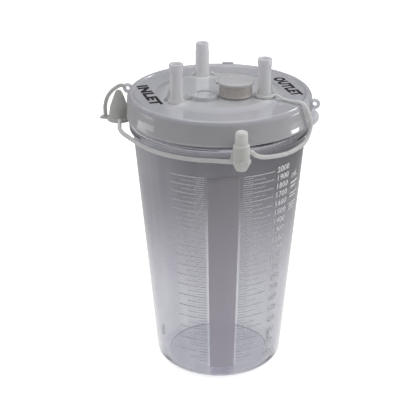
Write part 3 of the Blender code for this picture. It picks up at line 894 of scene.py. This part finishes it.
def make_ribs(boss_at):
    patient, tandem, vacuum = PORTS["patient_port"], PORTS["tandem_port"], PORTS["vacuum_port"]
    to_boss = boss_at - patient
    rib("patient_rib_boss", patient, math.degrees(math.atan2(to_boss.y, to_boss.x)), 14, 7)
    rib("patient_rib_out", patient, 160.0, 10.5, 9)
    rib("tandem_rib_left", tandem, 200.0, 10, 4)
    rib("tandem_rib_right", tandem, -8.0, 14, 3)
    rib("vacuum_rib_out", vacuum, 2.0, 9.5, 12, 2.0)
    rib("vacuum_rib_in", vacuum, 200.0, 8.5, 4)


def make_rim_bump():
    """The small grip at the back of the edge bead."""
    place = spin(84.4) @ shift(SHOULDER_RADIUS, 0.0, BEAD_HEIGHT)
    outline = [(-5.0, -2.0), (-1.2, -2.0), (-0.8, 0.4), (-1.8, 1.3), (-3.6, 1.3)]
    plate("rim_grip", outline, 9.4, place, "lid", "lid", 0.9, 4)


def make_ear(name, azimuth_deg):
    """A small eye on the skirt that a tether is tied to."""
    outer, hole, half = 4.2, 1.7, 1.2
    outline = rounded([(hole, half, 0.4), (outer, half, 0.6), (outer, -half, 0.6), (hole, -half, 0.4)])
    place = spin(azimuth_deg) @ shift(SKIRT_RADIUS + 2.0, 0.0, 230.5)
    place = place @ Matrix.Rotation(math.pi / 2, 4, "X")
    piece(name, lathe(outline, 40, closed=True, place=place), "tab", "lid")


def make_lift_tab():
    """A half-moon tab at the skirt's foot for prising the lid off."""
    middle, half, reach = -8.0, 17.0, 4.8
    low, high = SKIRT_BOTTOM + 0.3, SKIRT_BOTTOM + 2.2
    shape = bmesh.new()
    columns = 32
    rows = []
    for i in range(columns + 1):
        share = 2 * i / columns - 1
        azimuth = middle + half * share
        outer = SKIRT_RADIUS + reach * math.sqrt(max(0.0, 1 - share ** 2)) ** 1.3
        inner = SKIRT_RADIUS - 0.8
        rows.append([shape.verts.new(polar(azimuth, r, z)) for r, z in (
            (inner, low), (outer, low), (outer, high), (inner, high))])
    for first, second in zip(rows, rows[1:]):
        bridge(shape, second, first)
    shape.faces.new(rows[0])
    shape.faces.new(rows[-1][::-1])
    soften(piece("lift_tab", finished(shape), "tab", "lid"), 0.5)


def make_nozzle(node):
    """A hose nozzle: rounded lip, a tube that tapers a little, a flared foot and a stem."""
    high = top(node)
    lip = 5.1 if node == "tandem_port" else 5.6
    waist = 5.4 if node == "tandem_port" else 5.15
    bore = 3.2
    nozzle = turned([
        (bore, high - 0.4, 0.6),
        (bore + 0.6, high, 0.5),
        (lip, high, 1.1),
        (lip, high - 4.8, 1.5),
        (waist, high - 6.8, 1.5),
        (waist + 0.1, LID_TOP + 6.0, 2),
        (5.6, LID_TOP + 2.2, 1.5),
        (6.9, LID_TOP - 0.1, 0.4),
        (7.0, LID_TOP - 1.9, 0),
        (4.6, LID_TOP - 1.9, 0),
        (4.6, LID_UNDER - 4.0, 0.3),
        (bore, LID_UNDER - 4.0, 0.3),
    ], at=PORTS[node], closed=True, arc=6)
    piece(node + "_nozzle", nozzle, "port", "lid", node)


# ---------------------------------------------------------------- valve, filter and deflector

def make_deflector():
    """The cup under the patient port, with a window on its outer side."""
    at = PORTS["patient_port"]
    high, low = top("inlet_deflector"), bottom("inlet_deflector")
    outer, wall, neck = 7.4, 1.5, 4.9
    inner = outer - wall
    outward = math.degrees(math.atan2(at.y, at.x))
    window = (low + 4.5, low + 17.0)
    levels = [low, low + 0.8, *window, high - 3.0, high]
    steps, edge = 72, 8
    opened = [*range(edge), *range(steps - edge, steps)]
    shape = bmesh.new()
    rings = {(radius, level): [
        shape.verts.new(Vector((*at, level)) + polar(outward + 360 * k / steps, radius))
        for k in range(steps)] for radius in (outer, inner) for level in levels}
    for lower, upper in zip(levels, levels[1:]):
        where = range(edge, steps - edge) if lower == window[0] else range(steps)
        for radius in (outer, inner):
            bridge(shape, rings[radius, lower], rings[radius, upper], where)
    for level, where in ((low, range(steps)), (high, range(steps)), (window[0], opened),
                         (window[1], opened)):
        bridge(shape, rings[outer, level], rings[inner, level], where)
    for k in (edge, steps - edge):
        shape.faces.new((rings[outer, window[0]][k], rings[inner, window[0]][k],
                         rings[inner, window[1]][k], rings[outer, window[1]][k]))
    floor = lathe([(0.0, low + wall), (inner + 0.2, low + wall), (inner + 0.2, low), (0.0, low)], 48, at)
    collar = lathe([(neck, high), (inner + 0.2, high), (inner + 0.2, high - wall),
                    (neck, high - wall)], 48, at, closed=True)
    piece("inlet_deflector_cup", merged([finished(shape), floor, collar]), "valve", "lid",
          "inlet_deflector")


def make_housing():
    high, low = top("filter_housing"), bottom("filter_housing")
    radius, wall, neck = half_width("filter_housing"), 1.3, 4.9
    housing = turned([
        (neck, high, 0.3), (radius, high, 0.9), (radius, low + 2.2, 0.4),
        (radius + 0.4, low + 1.8, 0.3), (radius + 0.4, low, 0.4), (radius - wall, low, 0.3),
        (radius - wall, high - wall, 0.6), (neck, high - wall, 0.2),
    ], at=VALVE_AT, closed=True)
    piece("valve_housing", housing, "valve", "lid", "filter_housing")


def make_cage():
    """The float's basket: flange, upright bars and a vented cup."""
    high, low = top("float_cage"), bottom("float_cage")
    outer, inner = 8.6, 7.3
    flange = half_width("float_cage")
    parts = [
        turned([(inner, high, 0.2), (flange, high, 0.4), (flange, high - 1.6, 0.4),
                (outer, high - 1.8, 0.4), (outer, high - 6.5, 0.4), (inner, high - 6.5, 0.2)],
               at=VALVE_AT, closed=True),
        turned([(inner, low + 5.0, 0.2), (outer, low + 5.0, 0.3), (outer, low, 1.2), (2.8, low, 0.4),
                (2.8, low + 1.3, 0.2), (inner, low + 1.3, 0.6)], at=VALVE_AT, closed=True),
    ]
    parts += bars(VALVE_AT, CAGE_BARS, 0.5, (outer + inner) / 2, 0.75, low + 4.5, high - 6.0)
    piece("float_basket", merged(parts), "valve", "lid", "float_cage")


def bars(at, count, first, reach, radius, low, high):
    """A ring of upright round bars, the first of them a share of a step round."""
    outline = rounded([(0.0, high, 0), (radius, high, 0.2), (radius, low, 0.2), (0.0, low, 0)], 3)
    feet = [at + polar(360 * (number + first) / count, reach).xy for number in range(count)]
    return [lathe(outline, 16, foot) for foot in feet]


def make_float():
    """The float: a hollow capsule with a moulding seam round its middle."""
    high, low = top("float"), bottom("float")
    radius = half_width("float")
    cap = radius * 0.55
    middle = (high + low) / 2
    dome = [(radius * math.sin(a), high - cap + cap * math.cos(a))
            for a in (math.radians(9 * i) for i in range(11))]
    seam = [(radius, middle + 0.5), (radius + 0.2, middle + 0.2), (radius + 0.2, middle - 0.2),
            (radius, middle - 0.5)]
    foot = [(r, low + high - z) for r, z in reversed(dome)]
    piece("valve_float", lathe(dome + seam + foot, MEDIUM, VALVE_AT), "float", "float", "float")


def finish_inner_nodes():
    """Small parts that stay as packed, each with its own finish."""
    kept = {"lid_seal": "rubber", "valve_seat": "rubber", "cap_liner": "rubber",
            "filter_disc": "felt", "filter_support": "valve"}
    for name, finish in kept.items():
        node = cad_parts[name]
        node.data.materials.clear()
        node.data.materials.append(finishes[finish])


# ---------------------------------------------------------------- caps and tethers

def make_pour_cap():
    """The push-on cap: a broad thumb flange over a body with fine grip ribs and a foot bead."""
    low, high = bottom("pour_port_cap"), top("pour_port_cap")
    flange = half_width("pour_port_cap")
    body, wall = 12.7, 1.3
    shelf = high - 2.6
    cap = turned([
        (0.0, high, 0),
        (flange - 2.6, high - 0.1, 1.6),
        (flange, high - 0.7, 0.9),
        (flange, shelf, 0.8),
        (body, shelf - 0.7, 0.6),
        (body, low + 2.3, 0.4),
        (body + 0.5, low + 1.8, 0.3),
        (body + 0.5, low, 0.3),
        (body - wall, low, 0.3),
        (body - wall, high - wall - 0.3, 0.5),
        (0.0, high - wall - 0.3, 0),
    ], at=POUR_AT)
    even_normals(piece("pour_cap_body", cap, "cap", "pour_cap", "pour_port_cap"))
    grips = bars(POUR_AT, GRIP_RIBS, 0.0, body - 0.05, 0.32, low + 1.9, shelf - 0.6)
    piece("pour_cap_grips", merged(grips), "cap", "pour_cap")
    make_cap_pull(flange, high, shelf)


def make_cap_pull(flange, high, shelf):
    """The little pull on the flange's left edge."""
    place = shift(*POUR_AT) @ spin(187.0) @ shift(flange - 0.4, 0.0, shelf + 0.2)
    outline = [(-1.5, 0.0), (1.6, 0.0), (2.0, 0.8), (1.2, 1.9), (-1.5, high - shelf - 0.4)]
    plate("pour_cap_pull", outline, 7.0, place, "cap", "pour_cap", 0.5)


def make_cone():
    """The cone cap: thin walled, stepped at its brim, with the lug its loop is tied to."""
    z = bottom("patient_cap")
    high = top("patient_cap") - z
    cone = turned([
        (0.0, z + high, 0),
        (1.9, z + high - 0.3, 1.0),
        (3.6, z + high * 0.86, 1.5),
        (7.2, z + high * 0.46, 6.0),
        (8.5, z + 3.0, 0.8),
        (9.8, z + 2.5, 0.4),
        (9.8, z, 0.5),
        (7.6, z, 0.4),
        (6.1, z + high * 0.43, 4.0),
        (2.3, z + high * 0.83, 1.0),
        (0.0, z + high * 0.89, 0),
    ], at=CONE_AT, arc=6)
    piece("cone_cap_body", cone, "cone", "cone_cap", "patient_cap")
    outline = [(8.6, 0.1), (15.6, 0.1), (16.4, 0.9), (15.6, 2.0), (12.4, 2.3), (8.6, 2.4)]
    place = shift(*CONE_AT, z) @ spin(CONE_DEG)
    plate("cone_cap_lug", outline, 5.4, place, "cone", "cone_cap", 0.6)


def make_cone_loop():
    """The loop from the lid's left ear out and down on to the cone cap's lug."""
    knots = [(80.2, 231.9), (82.4, 232.4), (85.6, 230.9), (90.8, 226.6), (94.8, 220.6), (96.6, 214.0),
             (96.8, 209.0), (96.6, bottom("patient_cap") + 2.4)]
    path = [polar(CONE_DEG, radius, height) for radius, height in knots]
    loop = sweep(smooth_path(path), 1.75, 1.55)
    piece("cone_cap_strap", loop, "cone", "cone_cap", "patient_cap_loop")


def make_tether(name, knots, end_size, node):
    """A round strap through the knots, scaled by end_size towards its far end."""
    mesh = sweep(smooth_path(knots), TETHER_RADIUS, TETHER_RADIUS + 0.2, end_size)
    strap = piece(name, mesh, "tether", None, node)
    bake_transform(strap)


def make_front_tether():
    """From the cone cap's brim, round the front of the jar under its collar, to the plug."""
    cone = polar(CONE_DEG, CONE_REACH, TETHER_HEIGHT)
    knots = [cone + Vector((1.0, -9.0, 0.0))]
    for azimuth, radius in ((179.0, 80.4), (185.2, 79.8), (192.0, 78.2), (198.9, 76.0), (206.5, 74.4)):
        knots.append(polar(azimuth, radius, TETHER_HEIGHT))
    for i in range(9):
        knots.append(polar(214.0 + 53.0 * i / 8, 74.2, TETHER_HEIGHT))
    knots += [polar(272.5, 76.4, TETHER_HEIGHT + 0.3), polar(277.5, 79.6, TETHER_HEIGHT + 1.0)]
    make_tether("front_strap", knots, 1.0, "front_tether")


def make_vacuum_tether():
    """From the plug, round under the collar, up outside the skirt and over to the vacuum port."""
    places = [
        (-75.6, 82.0, 214.9), (-72.6, 81.9, 213.2), (-70.0, 80.4, 210.0), (-65.6, 78.8, 207.1),
        (-59.0, 77.8, 205.6), (-49.5, 77.4, 204.6), (-40.5, 77.4, 205.2), (-31.3, 77.6, 207.4),
        (-26.0, 77.9, 213.8), (-24.5, 78.0, 219.0), (-26.6, 78.0, 226.4), (-29.3, 77.3, 232.6),
        (-29.4, 74.6, 236.6), (-27.4, 69.5, 236.9), (-24.5, 61.5, 235.4), (-23.0, 54.6, 235.6),
        (-22.7, 49.6, 237.2), (-23.0, 46.0, 237.6),
    ]
    knots = [polar(*place) for place in places]
    make_tether("vacuum_strap", knots, 0.55, "vacuum_tether")


def make_tether_ring():
    high, low = top("tether_collar"), bottom("tether_collar")
    radius = half_width("tether_collar")
    collar = turned([(5.5, high, 0.5), (radius, high, 0.8), (radius, low, 0.8), (5.5, low, 0.4)],
                    at=VALVE_AT, closed=True)
    piece("tether_ring", collar, "tether", "lid", "tether_collar")


def make_plug():
    """The bullet-shaped plug: domed top, thick collar and an eight-sided tapering foot."""
    z = bottom("vacuum_cap")
    at = centre("vacuum_cap")
    mesh = turned([
        (0.0, z + 31.0, 0),
        (4.7, z + 31.0, 4.4),
        (4.9, z + 20.6, 0.6),
        (6.2, z + 20.0, 0.8),
        (6.6, z + 8.4, 0.7),
        (5.2, z + 7.4, 0),
        (3.4, z + 7.4, 0),
        (3.4, z + 22.0, 0.8),
        (0.0, z + 26.2, 0),
    ], at=at, arc=8)
    piece("vacuum_plug", mesh, "plug", "plug", "vacuum_cap")
    foot = [(3.0, z + 8.0), (7.3, z + 8.6), (7.5, z + 6.4), (4.2, z), (2.7, z)]
    soften(piece("vacuum_plug_foot", lathe(foot, 8, at, closed=True), "plug", "plug"), 0.35)
    wing = [(4.0, 4.5), (8.6, 5.6), (8.4, 9.0), (7.0, 15.0), (6.0, 19.0), (4.0, 19.0)]
    plate("vacuum_plug_wing", wing, 3.2, shift(*at, z) @ spin(180.0), "plug", "plug", 0.5)


# ---------------------------------------------------------------- studio

def make_floor():
    mesh = bpy.data.meshes.new("floor")
    side = 6.0
    corners = [(-side, -side, 0.0), (side, -side, 0.0), (side, side, 0.0), (-side, side, 0.0)]
    mesh.from_pydata(corners, [], [(0, 1, 2, 3)])
    floor = placed("floor", mesh)
    floor.location.z = -0.05 * MM
    mesh.materials.append(floor_finish())


def floor_finish():
    """A pale sweep, evenly bright to the camera; seen through the jar or mirrored, its painted glow is a
    pool of light round the jar that falls off to grey.
    """
    made, tree = network("pale_floor")
    place = add(tree, "NewGeometry").outputs["Position"]
    distance = add(tree, "VectorMath", {0: place}, operation="LENGTH").outputs["Value"]
    through = between(tree, distance, 0.05, 0.75, FLOOR_NEAR, FLOOR_FAR)
    paint = add(tree, "BsdfDiffuse", {"Color": (0.55, 0.55, 0.55)})
    glow = add(tree, "Emission", {"Color": (1.0, 1.0, 1.0), "Strength": 0.78})
    direct = add(tree, "AddShader", {0: paint.outputs[0], 1: glow.outputs[0]})
    beyond = add(tree, "Emission", {"Color": (0.98, 0.98, 1.0), "Strength": through})
    # The mirrored glow also reaches the pieces as painted light from below
    mirrored = between(tree, distance, 0.15, 0.50, FLOOR_MIRRORED_NEAR, FLOOR_MIRRORED_FAR)
    dim = add(tree, "Emission", {"Color": (1.0, 1.0, 1.0), "Strength": mirrored})
    path = add(tree, "LightPath")
    other = mix_shaders(tree, path.outputs["Is Transmission Ray"], dim.outputs[0], beyond.outputs[0])
    output(tree, mix_shaders(tree, path.outputs["Is Camera Ray"], other, direct.outputs[0]))
    return made


def make_world():
    """White to the camera; grey, and brighter overhead and behind, to everything else."""
    world = bpy.data.worlds.new("studio")
    bpy.context.scene.world = world
    world.use_nodes = True
    tree = world.node_tree
    tree.nodes.clear()
    ray = add(tree, "NewGeometry").outputs["Incoming"]
    parts = add(tree, "SeparateXYZ", {"Vector": ray})
    upward = math_node(tree, "MULTIPLY", parts.outputs["Z"], -1.0)
    backward = math_node(tree, "MULTIPLY", parts.outputs["Y"], -1.0)
    share = between(tree, upward, 0.0, 1.0)
    matt = ramp(tree, share, ((0.0, (0.29, 0.29, 0.30)), (0.35, (0.37, 0.37, 0.385)),
                              (0.8, (0.54, 0.545, 0.57))))
    behind = between(tree, backward, 0.1, 1.0, smooth=True)
    matt = blend_colour(tree, behind, matt, (0.95, 0.95, 0.97))
    mirrored = ramp(tree, share, ((0.0, (0.13, 0.13, 0.14)), (0.45, (0.13, 0.13, 0.14)),
                                  (0.9, (0.34, 0.34, 0.36))))
    path = add(tree, "LightPath")
    level = blend_colour(tree, path.outputs["Is Glossy Ray"], matt, mirrored)
    grey = add(tree, "Background", {"Color": level, "Strength": 1.0})
    white = add(tree, "Background", {"Color": (1.0, 1.0, 1.0), "Strength": 1.1})
    mixed = mix_shaders(tree, path.outputs["Is Camera Ray"], grey.outputs[0], white.outputs[0])
    add(tree, "OutputWorld", {"Surface": mixed})


def softbox(name, place, width, height, radiance, mirrored=True, aim=(0.0, 0.0, 0.2)):
    """A rectangular lamp of the given brightness that faces aim; mirrored ones show in gloss."""
    lamp = bpy.data.lights.new(name, "AREA")
    lamp.shape = "RECTANGLE"
    lamp.size = width
    lamp.size_y = height
    lamp.energy = radiance * math.pi * width * height
    holder = placed(name, lamp)
    holder.location = place
    facing = Vector(aim) - Vector(place)
    holder.rotation_euler = facing.to_track_quat("-Z", "Y").to_euler()
    holder.visible_camera = False
    holder.visible_glossy = mirrored
    holder.visible_transmission = False


def make_lights():
    softbox("overhead", (0.0, 0.15, 1.35), 1.1, 0.9, 1.15)
    softbox("fill_right", polar(-8.0, 0.90, 0.62), 0.5, 0.5, 3.3, mirrored=False)
    softbox("fill_left", polar(184.0, 0.90, 0.62), 0.5, 0.5, 1.0, mirrored=False)
    softbox("back_right", polar(50.0, 0.95, 0.98), 0.42, 0.16, 5.0)
    softbox("back_left", polar(131.0, 0.95, 0.98), 0.36, 0.12, 1.4)
    softbox("low_left", (-0.465, 0.04, 0.12), 0.25, 0.05, 1.3)
    softbox("low_right", (0.50, 0.06, 0.15), 0.13, 0.05, 7.0)


def make_camera():
    """A long lens in front, looking down on the lid, with the jar a little right of the middle."""
    camera = bpy.data.cameras.new("camera")
    camera.lens = 113.53
    camera.sensor_width = 36.0
    holder = placed("camera", camera)
    holder.location = (0.0, -0.9872, 0.5723)
    holder.rotation_euler = (math.pi / 2 - 0.4182, 0.0, 0.0097)
    bpy.context.scene.camera = holder


# ---------------------------------------------------------------- build

finishes = make_materials()

make_jar()
make_stacking_lugs()
make_strip()
make_graduations()
make_numerals()
make_unit_block()

make_lid_shell()
make_spout()
make_ribs(make_boss())
make_rim_bump()
make_ear("ear_right", -13.0)
make_ear("ear_left", CONE_DEG)
make_lift_tab()
make_lid_label("label_inlet", "INLET", Vector((-63.5, 15.5)), Vector((-48.5, -31.0)))
make_lid_label("label_outlet", "OUTLET", Vector((47.0, 36.5)), Vector((61.5, -7.0)))
for port in PORTS:
    make_nozzle(port)

make_deflector()
make_housing()
make_cage()
make_float()
finish_inner_nodes()

make_pour_cap()
make_cone()
make_cone_loop()
make_front_tether()
make_vacuum_tether()
make_tether_ring()
make_plug()

make_floor()
make_world()
make_lights()
make_camera()
bpy.context.scene.view_settings.view_transform = "Standard"
